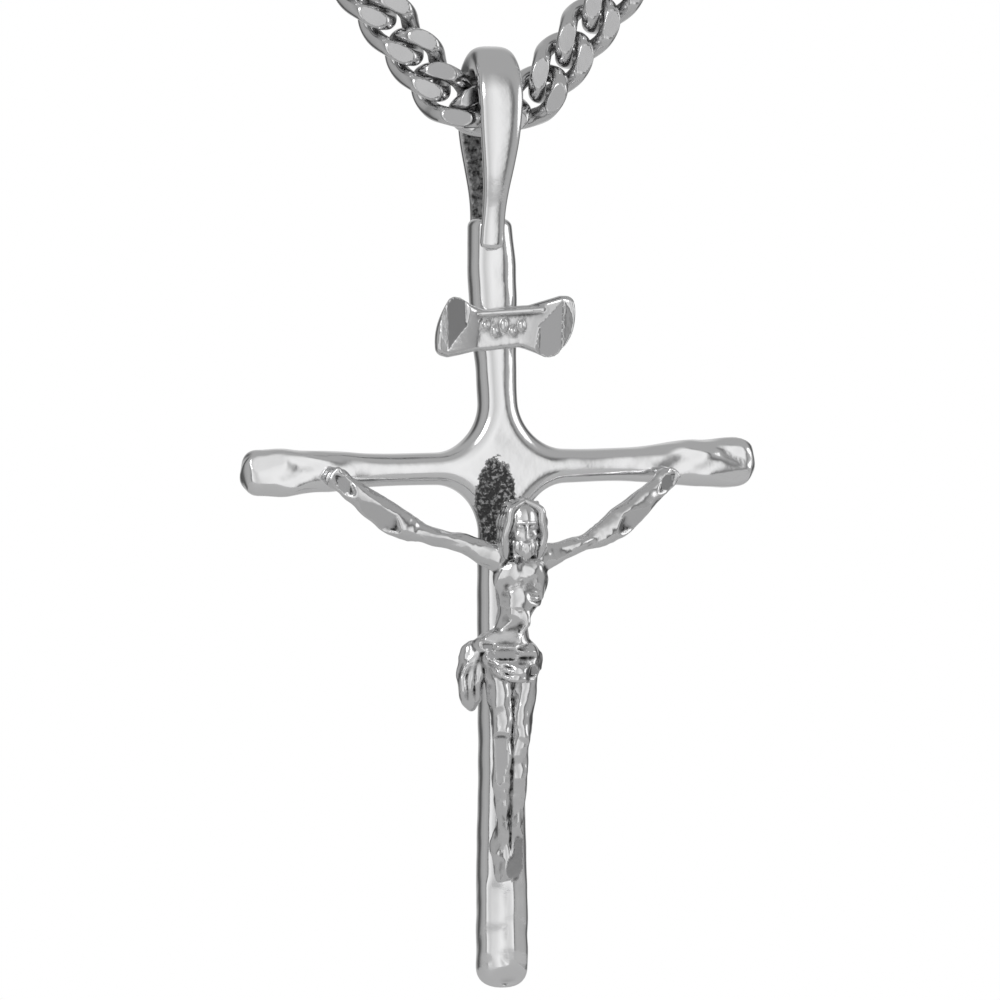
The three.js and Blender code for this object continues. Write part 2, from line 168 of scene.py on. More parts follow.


# %% [markdown]
# ## Finishes
#
# Polished silver has no colour of its own to speak of: what is seen is the room. So the
# metal shader is simple, and the life comes from small things. Polishing leaves a slow
# waviness and fine scratches, and a casting keeps its dark, slightly rough skin wherever
# the polishing wheel can't reach. Each mesh carries a number for how deep a point lies in
# a groove or on the inside of a loop, and the shader darkens by it: painted shade, together
# with that dark skin. A second number marks the faces that were cut flat with a diamond
# tool and shine like a mirror; they are painted a plain reflection grey.

# %% Shader helpers
def node_of(tree, kind, **settings):
    """New node of a kind, with its own settings."""
    made = tree.nodes.new(kind)
    for key, value in settings.items():
        setattr(made, key, value)
    return made


def set_inputs(made, **values):
    """Sets input sockets by name, where an underscore stands for a space."""
    for key, value in values.items():
        made.inputs[key.replace("_", " ")].default_value = value
    return made


def spread(tree, source, low, high, to_low=0.0, to_high=1.0):
    """Maps a value between low and high to the range to_low to to_high, and stops there."""
    ranged = node_of(tree, "ShaderNodeMapRange")
    tree.links.new(source, ranged.inputs["Value"])
    set_inputs(ranged, From_Min=low, From_Max=high, To_Min=to_low, To_Max=to_high)
    return ranged.outputs["Result"]


def both(tree, how, first, second):
    """Math node on two sockets or numbers."""
    sum_of = node_of(tree, "ShaderNodeMath", operation=how)
    for socket, value in zip(sum_of.inputs, (first, second)):
        if isinstance(value, (int, float)):
            socket.default_value = value
        else:
            tree.links.new(value, socket)
    return sum_of.outputs["Value"]


def noise(tree, coordinates, scale, detail=3.0, roughness=0.5):
    """Noise on Object coordinates; scale is in waves per metre."""
    made = node_of(tree, "ShaderNodeTexNoise")
    set_inputs(made, Scale=scale, Detail=detail, Roughness=roughness)
    tree.links.new(coordinates, made.inputs["Vector"])
    return made.outputs["Fac"]


# %% Polished silver, with painted shade and its dark casting skin in the grooves
GRAIN, CLOUD, WAVE, SCRATCH, PIT = 2600, 420, 900, 9000, 3600  # waves per metre of each noise
BUMP = 0.00004  # metres of height that a bump of one stands for
# a plain grey painted on cut faces as their reflection
PAINTED_REFLECTION_GREY = (0.34, 0.34, 0.344, 1)


def rough_patch(tree, place, grain, centre, radii):
    """Share of rough skin and painted shadow: 1 within an ellipsoid whose edge is made ragged by the
    grain.
    """
    mapping = node_of(tree, "ShaderNodeMapping", vector_type="TEXTURE")
    mapping.inputs["Location"].default_value = [c * MM for c in centre]
    mapping.inputs["Scale"].default_value = [r * MM for r in radii]
    tree.links.new(place, mapping.inputs["Vector"])
    reach = node_of(tree, "ShaderNodeVectorMath", operation="LENGTH")
    tree.links.new(mapping.outputs["Vector"], reach.inputs[0])
    edge = both(tree, "ADD", reach.outputs["Value"], both(tree, "MULTIPLY", grain, 0.5))
    return spread(tree, edge, 1.22, 1.12)


def blended(tree, share, first, second):
    """Mixes two colours, or a colour and a socket, by a share."""
    made = node_of(tree, "ShaderNodeMix", data_type="RGBA")
    tree.links.new(share, made.inputs[0])
    for socket, value in ((made.inputs[6], first), (made.inputs[7], second)):
        if isinstance(value, tuple):
            socket.default_value = value
        else:
            tree.links.new(value, socket)
    return made.outputs[2]


def silver_finish(name, bright, dark, waviness, polish, oxide_and_head_shadow=None):
    """Metal that runs from bright to dark with painted shade and dark skin in its grooves, with waves
    and scratches for its bump.

    The last argument is (centre, radii) in mm of a patch that keeps its rough black casting skin, with
    the head's shadow painted into it."""
    material = bpy.data.materials.new(name)
    material.use_nodes = True
    tree = material.node_tree
    shader = tree.nodes["Principled BSDF"]
    shader.inputs["Metallic"].default_value = 1.0
    place = node_of(tree, "ShaderNodeTexCoord").outputs["Object"]
    shade_and_dark_skin, cut_with_painted_reflection = (node_of(tree, "ShaderNodeAttribute", attribute_name=label).outputs["Fac"]
                   for label in ("shade_and_dark_skin", "cut_with_painted_reflection"))
    grain = noise(tree, place, GRAIN, 4, 0.6)
    # painted shade in the grooves and on the inside of loops, with the dark casting skin, broken up by
    # grain
    shade_and_stain = both(tree, "MULTIPLY", shade_and_dark_skin, spread(tree, grain, 0.35, 0.6, 0.55, 1.0))
    height = both(tree, "MULTIPLY", noise(tree, place, WAVE, 2), waviness)
    scratches = both(tree, "MULTIPLY", noise(tree, place, SCRATCH, 2, 0.7), 0.06)
    skin_grain = both(tree, "MULTIPLY", both(tree, "MULTIPLY", grain, shade_and_stain), 2.2)
    height = both(tree, "ADD", both(tree, "ADD", height, scratches), skin_grain)
    if oxide_and_head_shadow is not None:
        skin_and_shadow_patch = rough_patch(tree, place, grain, *oxide_and_head_shadow)
        pits = noise(tree, place, PIT, 5, 0.65)
        deep = both(tree, "MULTIPLY", both(tree, "MULTIPLY", pits, skin_and_shadow_patch), 9.0)
        height = both(tree, "ADD", height, deep)
        # black pitted skin, with the head's shadow painted into the same patch
        black_skin_and_shadow = both(tree, "MULTIPLY", skin_and_shadow_patch, spread(tree, pits, 0.62, 0.5, 0.2, 0.95))
        shade_and_stain = both(tree, "MAXIMUM", shade_and_stain, black_skin_and_shadow)
    colour = blended(tree, shade_and_stain, (bright, bright, bright * 1.005, 1), (dark, dark, dark, 1))
    # cut faces are painted towards the reflection grey
    tree.links.new(blended(tree, cut_with_painted_reflection, colour, PAINTED_REFLECTION_GREY), shader.inputs["Base Color"])
    gloss = spread(tree, noise(tree, place, CLOUD, 2), 0.3, 0.7, polish * 0.75, polish * 1.35)
    roughness = both(tree, "ADD", gloss, both(tree, "MULTIPLY", shade_and_stain, 0.3))
    tree.links.new(roughness, shader.inputs["Roughness"])
    bump = set_inputs(node_of(tree, "ShaderNodeBump"), Strength=1.0, Distance=BUMP)
    polished = both(tree, "SUBTRACT", 1.0, cut_with_painted_reflection)
    tree.links.new(both(tree, "MULTIPLY", height, polished), bump.inputs["Height"])
    tree.links.new(bump.outputs["Normal"], shader.inputs["Normal"])
    return material


# rough black skin behind the head, where the head's shadow is also painted on the cross
SKIN_AND_HEAD_SHADOW = (CROSSING + [-0.75, -1.4, -2.6], (1.55, 1.6, 3.5))
cross_silver = silver_finish("cross_silver", 0.86, 0.06, 0.3, 0.13, SKIN_AND_HEAD_SHADOW)
chain_silver = silver_finish("chain_silver", 0.76, 0.05, 0.4, 0.13)
bail_silver = silver_finish("bail_silver", 0.84, 0.04, 0.35, 0.12)
figure_silver = silver_finish("figure_silver", 0.76, 0.015, 0.7, 0.13)
print("finishes:", [m.name for m in (cross_silver, chain_silver, bail_silver, figure_silver)])

# %% [markdown]
# ## The curb chain
#
# A curb link starts as a loop of round wire. It is twisted a quarter of the way round so
# that the links lie flat on each other, and then the whole chain is ground on both faces,
# which leaves a bright flat oval wherever the wire stood proud. It could be a bevelled
# curve, but a curve can't be ground. A grid of points can: clipping one coordinate of the
# array does what the grinding wheel does.

# %% One link as a twisted, ground tube
WIRE = 1.25
LINK_HALF_LENGTH, LINK_HALF_WIDTH = 2.39, 1.375
TWIST, TWIST_SHARPENING, LINK_CORNER = 0.98, -0.07, 1.2
GROUND_FACE = 1.3
# share of the painted reflection grey on the ground faces
GROUND_REFLECTION_SHARE = 0.55


def closed_tube(path, radius, columns):
    """Circle of the given radius carried round a closed path, square to its direction."""
    along = np.roll(path, -1, 0) - np.roll(path, 1, 0)
    along /= np.linalg.norm(along, axis=1, keepdims=True)
    out = path - path.mean(0)
    out -= (out * along).sum(1, keepdims=True) * along
    out /= np.linalg.norm(out, axis=1, keepdims=True)
    side = np.cross(along, out)
    turn = np.linspace(0, 2 * np.pi, columns, endpoint=False)[None, :, None]
    return path[:, None] + radius * (np.cos(turn) * out[:, None] + np.sin(turn) * side[:, None])


def link_surface(rows=112, columns=36):
    """Oval loop whose height over its plane is a sine of twice the angle, then clipped flat.

    The path is drawn with its first eight harmonics only, which keeps its corners soft."""
    angle = 2 * np.pi * (np.arange(512) + 0.5) / 512
    c, s = np.cos(angle), np.sin(angle)
    path = np.stack([
        LINK_HALF_LENGTH * np.sign(c) * abs(c) ** LINK_CORNER,
        TWIST * np.sin(2 * angle) + TWIST_SHARPENING * np.sin(4 * angle),
        LINK_HALF_WIDTH * np.sign(s) * abs(s) ** LINK_CORNER], 1)
    waves = np.fft.rfft(path, axis=0)
    waves[9:] = 0
    path = np.fft.irfft(waves[: rows // 2 + 1], n=rows, axis=0) * rows / 512
    tube = closed_tube(path, WIRE / 2, columns)
    tube[..., 1] = np.clip(tube[..., 1], -GROUND_FACE, GROUND_FACE)
    inside = ((path[:, None] - tube) * (path - path.mean(0))[:, None]).sum(-1)
    inside /= np.linalg.norm(path, axis=1)[:, None] * WIRE / 2
    return tube, inside


def rotation(axis, angle):
    """Rodrigues: turn by angle round a unit axis."""
    x, y, z = axis
    cross = np.array([[0, -z, y], [z, 0, -x], [-y, x, 0]])
    return np.eye(3) + np.sin(angle) * cross + (1 - np.cos(angle)) * cross @ cross


link_points, link_inside = link_surface()
link_quads = grid_faces(*link_points.shape[:2], closed=True)
ground = (abs(link_points[..., 1]).reshape(-1)[link_quads] > GROUND_FACE - 1e-6).all(1)
print("one link:", len(link_quads), "faces,", int(ground.sum()), "of them ground flat")

# %% [markdown]
# Each link stands where its measured twin stands. The two strands are one strand and its
# copy turned half round. Next to the centre link, one link leans as the chain folds over.
# The inside of each loop, where neighbouring links lie across it, is given painted shade.

# %% Place the links
FIRST_LINK = np.array([-3.036, -0.072, 0.86])
FIRST_LINK_LEAN, FIRST_LINK_PITCH = np.array([-0.154, -0.064, -0.228]), 0.748
SECOND_LINK = np.array([-4.984, 0, 3.0912])
STRAND_PITCH = math.radians(51.5)
STRAND_STEP = 3.15 * np.array([-math.cos(STRAND_PITCH), 0, math.sin(STRAND_PITCH)])
UP, ACROSS = np.array([0, 0, 1]), np.array([0, 1, 0])


def strand_turn(side):
    """No turn for the left strand, half a turn round the upright for the right one."""
    return rotation(UP, 0 if side == "left" else np.pi)


def place_link(name, centre, turn, side="left"):
    """One link turned, moved and given painted shade inside; its ground faces are painted part way to a
    reflection grey instead.
    """
    points = (link_points.reshape(-1, 3) @ turn.T + centre) @ strand_turn(side).T + CHAIN_CENTRE
    # painted shade on the inside of each loop, where neighbouring links lie across it; ground faces get
    # the painted reflection grey instead
    loop_inside_painted_shade = np.clip(link_inside.reshape(-1) * 1.6 - 0.5, 0, 1)
    ground_painted_reflection = (abs(link_points[..., 1].reshape(-1)) > GROUND_FACE - 1e-6) * GROUND_REFLECTION_SHARE
    loop_inside_painted_shade = loop_inside_painted_shade * (ground_painted_reflection == 0)
    piece = make_piece(name + "_silver", points, link_quads, shade_and_dark_skin=loop_inside_painted_shade * 0.8, cut_with_painted_reflection=ground_painted_reflection, flat=ground)
    finish_piece(piece, name, name, chain_silver)


place_link("centre_link", np.zeros(3), np.eye(3))
lean = np.linalg.norm(FIRST_LINK_LEAN)
first_turn = rotation(FIRST_LINK_LEAN / lean, lean) @ rotation(ACROSS, FIRST_LINK_PITCH)
for side in ("left", "right"):
    place_link(f"{side}_link_1", FIRST_LINK, first_turn, side)
    for number in (2, 3, 4, 5):
        centre = SECOND_LINK + (number - 2) * STRAND_STEP
        place_link(f"{side}_link_{number}", centre, rotation(ACROSS, STRAND_PITCH), side)

# %% [markdown]
# A plain round ring closes each strand. It is a circle of wire, and the only trace of its
# making is the butt joint, a hairline where the wire's two ends meet.

# %% Rings at the chain's two ends
RING_RADIUS, RING_WIRE = 1.78, 0.8
RING_OFFSET = np.array([-1.852, -0.1, 2.348])
RING_TURN = rotation(np.array([1, 0, 0]), -1.788) @ rotation(ACROSS, -0.358)


def place_ring(side):
    """Circle of wire, a little thinner within a narrow bell curve round its butt joint."""
    angle = np.linspace(0, 2 * np.pi, 96, endpoint=False)
    loop = RING_RADIUS * np.stack([np.cos(angle), np.sin(angle), 0 * angle], 1)
    tube = closed_tube(loop, RING_WIRE / 2, 24)
    joint = np.exp(-((np.minimum(angle, 2 * np.pi - angle) / 0.05) ** 2))[:, None, None]
    tube += (loop[:, None] - tube) * 0.12 * joint
    centre = SECOND_LINK + 3 * STRAND_STEP + RING_OFFSET
    points = (tube.reshape(-1, 3) @ RING_TURN.T + centre) @ strand_turn(side).T + CHAIN_CENTRE
    dark = np.broadcast_to(joint[..., 0] * 0.9, (96, 24)).reshape(-1)
    piece = make_piece(f"{side}_end_ring_silver", points, grid_faces(96, 24, closed=True), shade_and_dark_skin=dark)
    finish_piece(piece, "end_rings", f"{side}_end_ring", chain_silver)


for side in ("left", "right"):
    place_ring(side)

# %% [markdown]
# ## Clay, for what was cast in one piece
#
# The cross and the figure are castings, made from a carved wax in which every limb flows
# into the next. A grid of rows and columns can't branch, so those pieces are made another
# way. Space is filled with numbers that say how far each place is from the surface, less
# than zero inside. Two such shapes join by taking the smaller number, and a smooth minimum
# leaves a soft fillet between them. Afterwards a skin is drawn where the numbers change
# sign. It is still whole-array work.

# %% The clay block
def smooth_least(a, b, blend):
    """Smaller of two distances, with a fillet about as wide as blend where they meet."""
    close = np.maximum(blend - abs(a - b), 0) / blend
    return np.minimum(a, b) - close**2 * blend / 4


FAR = 3.0  # distance that an empty block starts with
RUN_OUT, RUN_OUT_SLOPE = 2.4, 0.75  # how far a cut runs out past its reach, and how steeply
FACET_AGREES, FACET_NEAR = 0.99, 0.04  # a point is on a cut when it faces and lies along it


class Clay:
    """Distances on an even grid, in millimetres from the crossing."""

    def __init__(self, low, high, step):
        self.low, self.step = np.array(low, float), step
        self.axes = [np.arange(a, b, step) for a, b in zip(low, high)]
        self.field = np.full([len(a) for a in self.axes], FAR, np.float32)
        self.cuts = []

    def window(self, low, high):
        """The part of the grid between two corners, and its coordinates."""
        first = np.maximum(((np.array(low) - self.low) / self.step).astype(int), 0)
        last = ((np.array(high) - self.low) / self.step).astype(int) + 2
        part = tuple(slice(a, max(b, a)) for a, b in zip(first, last))
        return part, np.ix_(*[axis[s] for axis, s in zip(self.axes, part)])

    def merge(self, low, high, distance, blend):
        """Adds a shape within two corners: the smooth minimum of both distances."""
        part, place = self.window(low, high)
        self.field[part] = smooth_least(self.field[part], distance(*place), blend)

    def carve(self, low, high, distance, blend):
        """Takes a shape away: the same, with the clay turned inside out before and after."""
        part, place = self.window(low, high)
        self.field[part] = -smooth_least(-self.field[part], distance(*place), blend)

    def cut_flat(self, point, normal, reach, painted_reflection_tone=1.0):
        """Takes off everything beyond a plane; outside its reach the cut slopes back out.

        The last argument is how dark the polished facet is painted as its reflection, from 0 to 1."""
        point, normal = np.array(point, float), np.array(normal, float)
        normal /= np.linalg.norm(normal)
        part, (x, y, z) = self.window(point - reach - RUN_OUT, point + reach + RUN_OUT)
        beyond = (x - point[0]) * normal[0] + (y - point[1]) * normal[1] + (z - point[2]) * normal[2]
        past = np.hypot(np.maximum(abs(x - point[0]) - reach[0], 0),
                        np.maximum(abs(z - point[2]) - reach[2], 0))
        beyond = beyond - RUN_OUT_SLOPE * past
        self.field[part] = np.maximum(self.field[part], beyond)
        self.cuts.append((point, normal, np.array(reach, float), painted_reflection_tone))

    def volume(self):
        """Cubic millimetres of clay: places below zero, times the size of one place."""
        return round(float((self.field < 0).sum()) * self.step**3, 1)


# %% [markdown]
# Two lumps of clay are enough for everything below: a ball that may be stretched, and a
# round cone, which is also a stick when both its ends are equal.

# %% Two shapes of clay
def cone(a, b, radius_a, radius_b, squash=1.0):
    """Distance to a round cone from a to b; squash above 1 makes it thinner front to back."""
    a, b = np.array(a, float), np.array(b, float)
    along = b - a
    size = float(along @ along) + 1e-9

    def distance(x, y, z):
        reached = (x - a[0]) * along[0] + (y - a[1]) * along[1] + (z - a[2]) * along[2]
        t = np.clip(reached / size, 0, 1)
        dx, dy, dz = x - a[0] - t * along[0], y - a[1] - t * along[1], z - a[2] - t * along[2]
        return np.sqrt(dx**2 + (dy * squash) ** 2 + dz**2) - (radius_a + (radius_b - radius_a) * t)

    return distance


def ball(middle, radii):
    """Near distance to an ellipsoid: how far outside the unit ball, times the smallest radius."""
    middle, radii = np.array(middle, float), np.array(radii, float)

    def distance(x, y, z):
        reach = np.sqrt(((x - middle[0]) / radii[0]) ** 2 + ((y - middle[1]) / radii[1]) ** 2
                        + ((z - middle[2]) / radii[2]) ** 2)
        return (reach - 1) * radii.min()

    return distance


# %% [markdown]
# The skin is drawn by surface nets: one point in each cell that the surface passes, and a
# face between four neighbouring cells. Marching cubes would leave thin slivers. Smoothing
# also measures: a point that would move outwards lies in a groove, and gets painted shade
# along with the dark skin.

# %% Skin: surface nets
def skin(clay):
    """One point in every cell that the surface crosses, at the mean of its edge crossings.

    Each grid edge whose two ends differ in sign gives one quad, between the four cells round it."""
    field = clay.field
    solid = field < 0
    quads, marks = [], []
    for axis in range(3):
        step = np.eye(3, dtype=int)[axis]
        count = field.shape[axis]
        a = np.take(solid, range(count - 1), axis)
        b = np.take(solid, range(1, count), axis)
        ends = np.argwhere(a != b)
        near, far = field[tuple(ends.T)], field[tuple((ends + step).T)]
        marks.append(ends + (near / (near - far))[:, None] * step)
        u, v = np.eye(3, dtype=int)[(axis + 1) % 3], np.eye(3, dtype=int)[(axis + 2) % 3]
        round_it = np.stack([ends, ends - u, ends - u - v, ends - v], 1)
        cells = np.ravel_multi_index(tuple(np.moveaxis(round_it, -1, 0)), field.shape)
        quads.append(np.where((near < 0)[:, None], cells, cells[:, ::-1]))
    quads, marks = np.vstack(quads), np.vstack(marks)
    cells, index = np.unique(quads, return_inverse=True)
    index = index.reshape(quads.shape)
    count = np.bincount(index.ravel(), minlength=len(cells))
    points = np.stack([np.bincount(index.ravel(), np.repeat(marks[:, k], 4), len(cells)) / count
                       for k in range(3)], 1)
    return clay.low + points * clay.step, index


def relaxed(points, quads, times):
    """Each point moves to the mean of its neighbours, so many times over."""
    start, end = quads.ravel(), np.roll(quads, -1, 1).ravel()
    one, other = np.concatenate([start, end]), np.concatenate([end, start])
    count = np.bincount(one, minlength=len(points))[:, None]
    for _ in range(times):
        total = [np.bincount(one, points[other, k], len(points)) for k in range(3)]
        points = np.stack(total, 1) / count
    return points


def normals_of(points, quads):
    """Unit normal at each point, the sum of its faces' normals."""
    a, b, c, d = (points[quads[:, k]] for k in range(4))
    face = np.cross(c - a, d - b)
    total = np.stack([np.bincount(quads.ravel(), np.repeat(face[:, k], 4), len(points))
                      for k in range(3)], 1)
    return total / np.maximum(np.linalg.norm(total, axis=1, keepdims=True), 1e-12)


def cast(clay, name, body, node, finish, groove=0.045):
    """Skins the clay, measures its grooves and flat cuts, and makes the piece."""
    points, quads = skin(clay)
    points = 0.5 * points + 0.5 * relaxed(points, quads, 1)
    normal = normals_of(points, quads)
    # groove depth becomes painted shade together with the dark skin; cut faces get their painted
    # reflection tone
    depth = ((relaxed(points, quads, 14) - points) * normal).sum(1)
    shade_and_dark_skin = np.clip(relaxed(depth[:, None].repeat(3, 1), quads, 1)[:, 0] / groove, 0, 1)
    cut_with_painted_reflection = np.zeros(len(points))
    for point, direction, reach, painted_reflection_tone in clay.cuts:
        near = (abs(points - point) < reach + RUN_OUT).all(1) & (normal @ direction > FACET_AGREES)
        cut_with_painted_reflection[near & (abs((points - point) @ direction) < FACET_NEAR)] = painted_reflection_tone
    piece = make_piece(name, points + CROSSING, quads, shade_and_dark_skin=shade_and_dark_skin * (1 - cut_with_painted_reflection), cut_with_painted_reflection=cut_with_painted_reflection)
    finish_piece(piece, body, node, finish)


# %% [markdown]
# ## The cross
#
# The real cross is two round-edged rods cast together, with wide round crotches, a flat
# back and ends that look a little like bark. In plan, the distance to each rod is found
# first, and the two are joined with a true circular fillet. Then the plan is given its
# depth with a superellipse, which is rounder than a box and fuller than an ellipse.

# %% The cross as a field
HALF_SPAN, STEM_ABOVE, HALF_DEPTH = 18.8, 17.6, 1.4
ROD = 1.45  # half width of a rod where its share is 1
CROTCH = 3.2  # radius of the fillet between the rods
FULLNESS = 2.5  # power of the superellipse; 2 would be an ellipse
CROSS_STEP = 0.125
LOWER_WIDTHS = [1.25, 1.24, 1.12, 1.13, 1.12, 1.02]  # shares of ROD, from the foot upwards
UPPER_WIDTHS = [1, 0.97, 0.97, 1.1, 1.17, 1.05]
BEAM_WIDTHS = [1.2, 1.1, 0.83, 0.8, 1, 0.85, 0.85, 1.2, 1.28]  # from left to right


def ripple(x, z, seed):
    """Slow uneven waves between -1 and 1: a sum of five sines in different directions."""
    rng = np.random.default_rng(seed)
    draws = rng.uniform((-2, -2, 0), (2, 2, 6.3), (5, 3))
    waves = [np.sin(x * kx + z * kz + p) for kx, kz, p in draws]
    return sum(waves) / 3


def rod_plan(along, off, length, widths, round_end):
    """Plan distance to a rod: off-axis share of its half width, combined with both round ends."""
    share = along / length
    half = ROD * through(widths, share)
    end = np.maximum(0, 1 - np.minimum(along, length - along) / round_end)
    return ((abs(off / half) ** FULLNESS + end**FULLNESS) ** (1 / FULLNESS) - 1) * half


clay = Clay((-19.4, -2, -37.3), (19.4, 1.8, 18.3), CROSS_STEP)
x, y, z = np.ix_(*clay.axes)
lower = rod_plan(z + STEM_BELOW, x + 0.0041 * z, STEM_BELOW + 1, LOWER_WIDTHS, 1.5)
upper = rod_plan(z + 1, x + 0.045 * z, STEM_ABOVE + 1, UPPER_WIDTHS, 0.8)
beam = rod_plan(x + HALF_SPAN, z - 0.016 * x, 2 * HALF_SPAN, BEAM_WIDTHS, 1.4)
stem = np.minimum(lower, upper)
plan = np.maximum(CROTCH, np.minimum(stem, beam)) - np.hypot(
    np.maximum(CROTCH - stem, 0), np.maximum(CROTCH - beam, 0))
towards_ends = np.clip((abs(x) - 9) / 6, 0, 1) + np.clip((-z - 24) / 8, 0, 1) * 0.15
bark = (0.02 + 0.05 * towards_ends) * (1 + ripple(x * 0.8, z * 1.6 + y, 3))
bark = bark + 0.07 * towards_ends * ripple(x * 1.2 + y, z * 2.6 + 2 * y, 9)
section = np.maximum(0, 1 + plan / ROD) ** FULLNESS + abs(y / HALF_DEPTH) ** FULLNESS
section = section ** (1 / FULLNESS)
clay.field[...] = (section - 1) * HALF_DEPTH + bark
clay.field[...] = -smooth_least(-clay.field, BACK - y + 0 * x, 0.15)
print("cross of clay:", clay.volume(), "cubic mm")

# %% [markdown]
# Three ends of the cross are filed on the slant in front, and the foot keeps the file's
# waves. They aren't polished to a mirror, so the list of cuts is emptied afterwards.

# %% File three ends
clay.cut_flat((0.1, -1.12, -35.6), (0.12, -1, -0.5), (1.8, 1, 0.6))
clay.cut_flat((-17, -1.24, 0.1), (-0.1, -1, 0.28), (1.6, 1, 1.1))
clay.cut_flat((16.6, -1.24, -0.5), (0.06, -1, -0.3), (1.8, 1, 1.2))
foot_face = np.clip((-28.6 - z) / 0.8, 0, 1) * np.clip((z + 35.0 + 0.35 * x) / 0.5, 0, 1)
foot_face = foot_face * np.clip(-y, 0, 1)
clay.field[...] += foot_face * (0.05 * np.sin(3.4 * x + 0.1 * z) + 0.02 * np.sin(6.1 * x + 1))
clay.cuts.clear()
print("after filing:", clay.volume(), "cubic mm")

# %% [markdown]
# Both hand pegs stand near an edge of the beam, so each gets a low boss of metal first.
# Then four holes go right through.

# %% Drill the peg holes and skin the cross
PEG, PEG_HOLE, BOSS = 0.45, 0.5, 0.74  # radii
pegs = {name: sum(box_mm(name)) / 2 - CROSSING
        for name in ("left_hand_peg", "right_hand_peg", "foot_peg", "scroll_peg")}
for name in ("left_hand_peg", "right_hand_peg"):
    boss, half = pegs[name] * [1, 0, 1], np.array([0, 0.5, 0])
    clay.merge(boss - 1.5, boss + 1.5, cone(boss - half, boss + half, BOSS, BOSS), 0.35)
for peg in pegs.values():
    clay.carve(peg - [1, 3, 1], peg + [1, 3, 1],
               lambda x, y, z: np.hypot(x - peg[0], z - peg[2]) + 0 * y - PEG_HOLE, 0.06)
cast(clay, "cross_silver_casting", "pendant", "cross_casting", cross_silver, groove=0.09)

# %% [markdown]
# Four plain pegs come through the cross. Seen from the back they are small riveted ends,
# slightly domed. A peg is a turned shape: one profile of radius against length, carried
# round an axis.

# %% Pegs
def place_peg(name, middle):
    """Profile turned round the Y axis: a straight shank with a low dome at its back end."""
    front, back = box_mm(name)[0][1], box_mm(name)[1][1]
    radius = PEG * np.array([0.7, 0.97, 1, 1, 0.99, 0.9, 0.7, 0.4, 0.12])
    along = np.array([0, 0.03, 0.08, 0.9, 0.955, 0.975, 0.988, 0.997, 1])
    turn = np.linspace(0, 2 * np.pi, 32, endpoint=False)[None]
    points = np.stack([middle[0] + radius[:, None] * np.cos(turn),
                       np.broadcast_to((front + (back - front) * along)[:, None], (9, 32)),
                       middle[2] + radius[:, None] * np.sin(turn)], -1)
    piece = make_piece(name + "_silver", *shut_ends(points, grid_faces(9, 32, closed=False)))
    finish_piece(piece, "pendant", name, bail_silver)


for name, middle in pegs.items():
    place_peg(name, middle + CROSSING)

# %% [markdown]
# ## The bail
#
# The bail is a strap bent into a tall arch over the chain, wide at its shoulders, waisted
# below, with a fat crown. Its side view gives an outer and an inner line. For each place
# along the arch the section stretches from one line to the other, domed outside and
# nearly flat inside, as wide as the strap is there.

# %% The bail as a swept section
PIVOT, CENTRE, OPENING, WALL, HEADROOM, CROWN = 25.0, -0.78, 2.4, 0.9, 2.6, 1.85
FRONT, BEHIND, FOOT, FRONT_FOOT, BACK_FOOT = -1.45, 1.25, 0.7, 15.2, 16.2
BAIL_X = -1.0
HEIGHTS, HALF_WIDTHS = [15.2, 16.8, 18.8, 21.6, 24, 27, 29], [0.9, 0.8, 0.82, 1.2, 1.5, 1.62, 1.5]


def bezier(a, b, c, d, t):
    """Cubic curve from a to d that leaves towards b and arrives from c."""
    t = t[:, None]
    a, b, c, d = (np.array(p) for p in (a, b, c, d))
    return (1 - t) ** 3 * a + 3 * (1 - t) ** 2 * t * b + 3 * (1 - t) * t**2 * c + t**3 * d


def bail_line(front_foot, back_foot, half, drop, rise, bulge):
    """Front leg, half ellipse and back leg, as (y, z) points."""
    leg, arc = np.linspace(0, 1, 40)[:-1], np.linspace(np.pi, 0, 64)
    up = bezier((front_foot, FRONT_FOOT), (front_foot, FRONT_FOOT + 3.5),
                (CENTRE - half, PIVOT - drop), (CENTRE - half, PIVOT), leg)
    over = np.stack([CENTRE + half * np.cos(arc), PIVOT + (rise + bulge) * np.sin(arc)], 1)
    down = bezier((CENTRE + half, PIVOT), (CENTRE + half, PIVOT - drop),
                  (back_foot, BACK_FOOT + 3), (back_foot, BACK_FOOT), np.linspace(0, 1, 40)[1:])
    return np.vstack([up, over, down])


outer = bail_line(FRONT - FOOT, BEHIND + FOOT, OPENING + WALL, 5.0, HEADROOM, CROWN)
inner = bail_line(FRONT, BEHIND, OPENING, 4.5, HEADROOM, 0.0)
middle, half_wall = (outer + inner) / 2, (outer - inner) / 2
half_width = np.interp(middle[:, 1], HEIGHTS, HALF_WIDTHS)
behind, low_down = (middle[:, 0] - CENTRE) / 2, (23.5 - middle[:, 1]) / 5
half_width *= 1 - 0.28 * np.clip(behind, 0, 1) * np.clip(low_down, 0, 1)
half_width = np.convolve(np.pad(half_width, 6, "edge"), np.ones(13) / 13, "valid")
share = np.linspace(0, 1, len(middle))
tip = np.sqrt(1 - (1 - np.clip(np.minimum(share, 1 - share) / 0.012, 0.05, 1)) ** 2)[:, None]
turn = np.linspace(0, 2 * np.pi, 56, endpoint=False)[None]
c, s = np.cos(turn), np.sin(turn)
across = np.sign(c) * abs(c) ** 0.62
through_wall = np.where(s > 0, abs(s) ** 0.85, -abs(s) ** 0.4)
lean_x = BAIL_X - 0.12 * np.clip((PIVOT - middle[:, 1:]) / 10, -0.4, 1)
points = np.stack([lean_x + half_width[:, None] * tip * across,
                   middle[:, :1] + half_wall[:, :1] * tip * through_wall,
                   middle[:, 1:] + half_wall[:, 1:] * tip * through_wall], -1)
